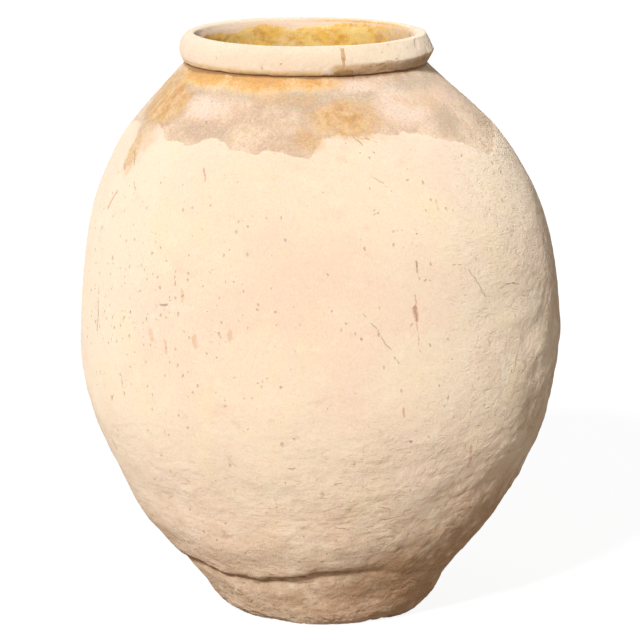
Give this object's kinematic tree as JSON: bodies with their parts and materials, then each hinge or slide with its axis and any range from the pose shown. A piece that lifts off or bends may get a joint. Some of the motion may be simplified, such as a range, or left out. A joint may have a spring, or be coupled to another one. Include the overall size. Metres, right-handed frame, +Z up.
{
  "type": "olive jar",
  "caption": "Large hand-built storage jar for olives or oil, with a round belly, a narrow foot, a rolled collar at a wide open mouth, a glazed inside and worn amber glaze on the neck.",
  "frame": {"origin": "on the ground, below the axis of the jar's belly", "axes": "+Z up; -Y is the pictured front; the mouth stands 19.5 mm to -X of the belly's axis and the foot 5 mm to +X"},
  "size_m": [0.642, 0.642, 0.78],
  "materials": {
    "fired_clay": "unglazed pale buff earthenware, finger-smeared, matt, pitted and speckled",
    "honey_glaze": "glossy honey-amber lead glaze, uneven in depth, with pale worn spots",
    "worn_glaze": "thin worn remains of glaze, brown-grey to ochre, satin to matt"
  },
  "bodies": {
    "root": {"base_slab": "fired_clay", "foot_course": "fired_clay", "lower_wall": "fired_clay", "belly_lower_wall": "fired_clay", "belly_upper_wall": "fired_clay", "shoulder_wall": "fired_clay", "neck_course": "fired_clay", "rim_collar": "fired_clay", "interior_glaze": "honey_glaze", "neck_glaze": "honey_glaze", "shoulder_glaze": "worn_glaze", "collar_glaze_run": "worn_glaze"}
  },
  "joints": []
}
